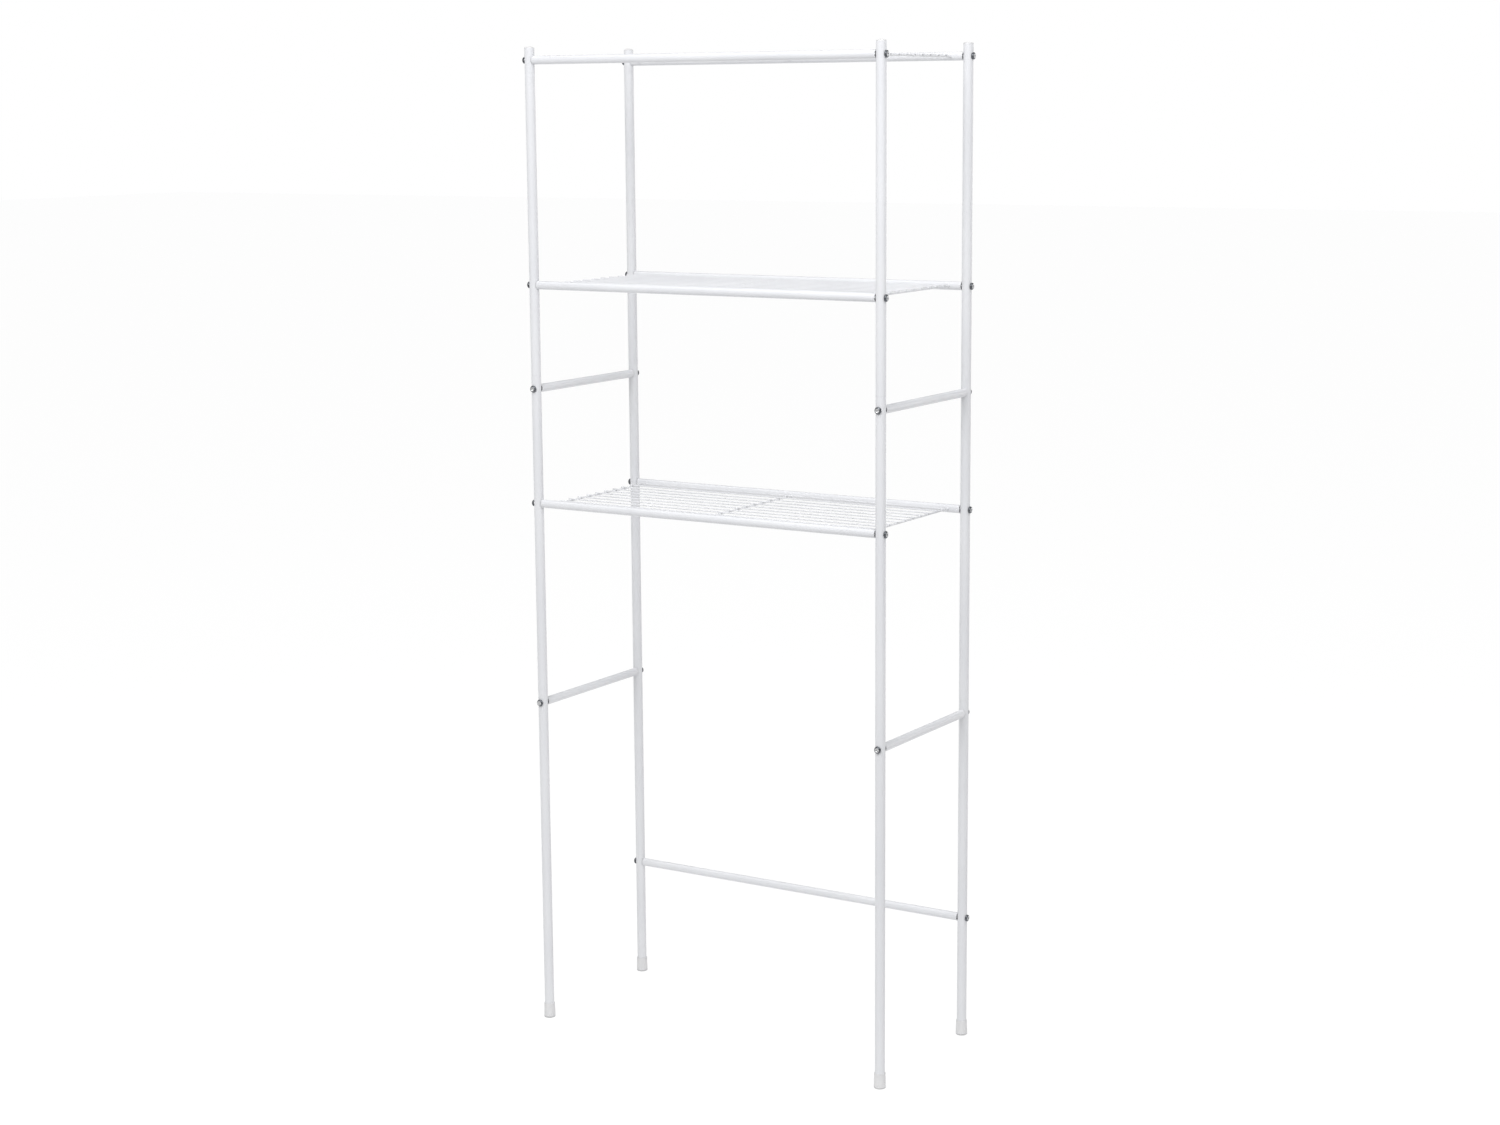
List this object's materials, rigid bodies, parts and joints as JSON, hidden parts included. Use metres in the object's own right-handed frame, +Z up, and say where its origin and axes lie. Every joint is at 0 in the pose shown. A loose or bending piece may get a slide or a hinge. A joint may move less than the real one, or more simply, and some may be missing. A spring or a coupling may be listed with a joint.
{
  "type": "over-the-toilet storage rack",
  "caption": "Tall free-standing rack of white steel tube with wire shelves above an open bay that straddles a toilet.",
  "frame": {"origin": "on the floor, at the middle of the rectangle of the four posts", "axes": "+Z up, -Y towards the user (front), +X to the right seen from the front"},
  "size_m": [0.6246, 0.2852, 1.524],
  "materials": {
    "white_coating": "white powder coat, satin gloss, faint orange peel",
    "white_plastic": "moulded white plastic, satin",
    "zinc_screw": "bright zinc plate, darker in the socket",
    "plain_steel": "plain steel, hidden in the tube ends"
  },
  "bodies": {
    "root": {"front_left_post_lower": "white_coating", "front_left_post_middle": "white_coating", "front_left_post_upper": "white_coating", "front_left_foot": "white_plastic", "front_left_post_cap": "white_plastic", "front_right_post_lower": "white_coating", "front_right_post_middle": "white_coating", "front_right_post_upper": "white_coating", "front_right_foot": "white_plastic", "front_right_post_cap": "white_plastic", "rear_left_post_lower": "white_coating", "rear_left_post_middle": "white_coating", "rear_left_post_upper": "white_coating", "rear_left_foot": "white_plastic", "rear_left_post_cap": "white_plastic", "rear_right_post_lower": "white_coating", "rear_right_post_middle": "white_coating", "rear_right_post_upper": "white_coating", "rear_right_foot": "white_plastic", "rear_right_post_cap": "white_plastic", "top_shelf_front_rail": "white_coating", "top_shelf_rear_rail": "white_coating", "top_shelf_cross_wires": "white_coating", "top_shelf_long_wires": "white_coating", "middle_shelf_front_rail": "white_coating", "middle_shelf_rear_rail": "white_coating", "middle_shelf_cross_wires": "white_coating", "middle_shelf_long_wires": "white_coating", "lower_shelf_front_rail": "white_coating", "lower_shelf_rear_rail": "white_coating", "lower_shelf_cross_wires": "white_coating", "lower_shelf_long_wires": "white_coating", "rear_crossbar": "white_coating", "left_upper_rung": "white_coating", "right_upper_rung": "white_coating", "left_lower_rung": "white_coating", "right_lower_rung": "white_coating", "top_shelf_screws": "zinc_screw", "top_shelf_inserts": "plain_steel", "middle_shelf_screws": "zinc_screw", "middle_shelf_inserts": "plain_steel", "lower_shelf_screws": "zinc_screw", "lower_shelf_inserts": "plain_steel", "crossbar_screws": "zinc_screw", "crossbar_inserts": "plain_steel", "upper_rung_screws": "zinc_screw", "upper_rung_inserts": "plain_steel", "lower_rung_screws": "zinc_screw", "lower_rung_inserts": "plain_steel"}
  },
  "joints": []
}
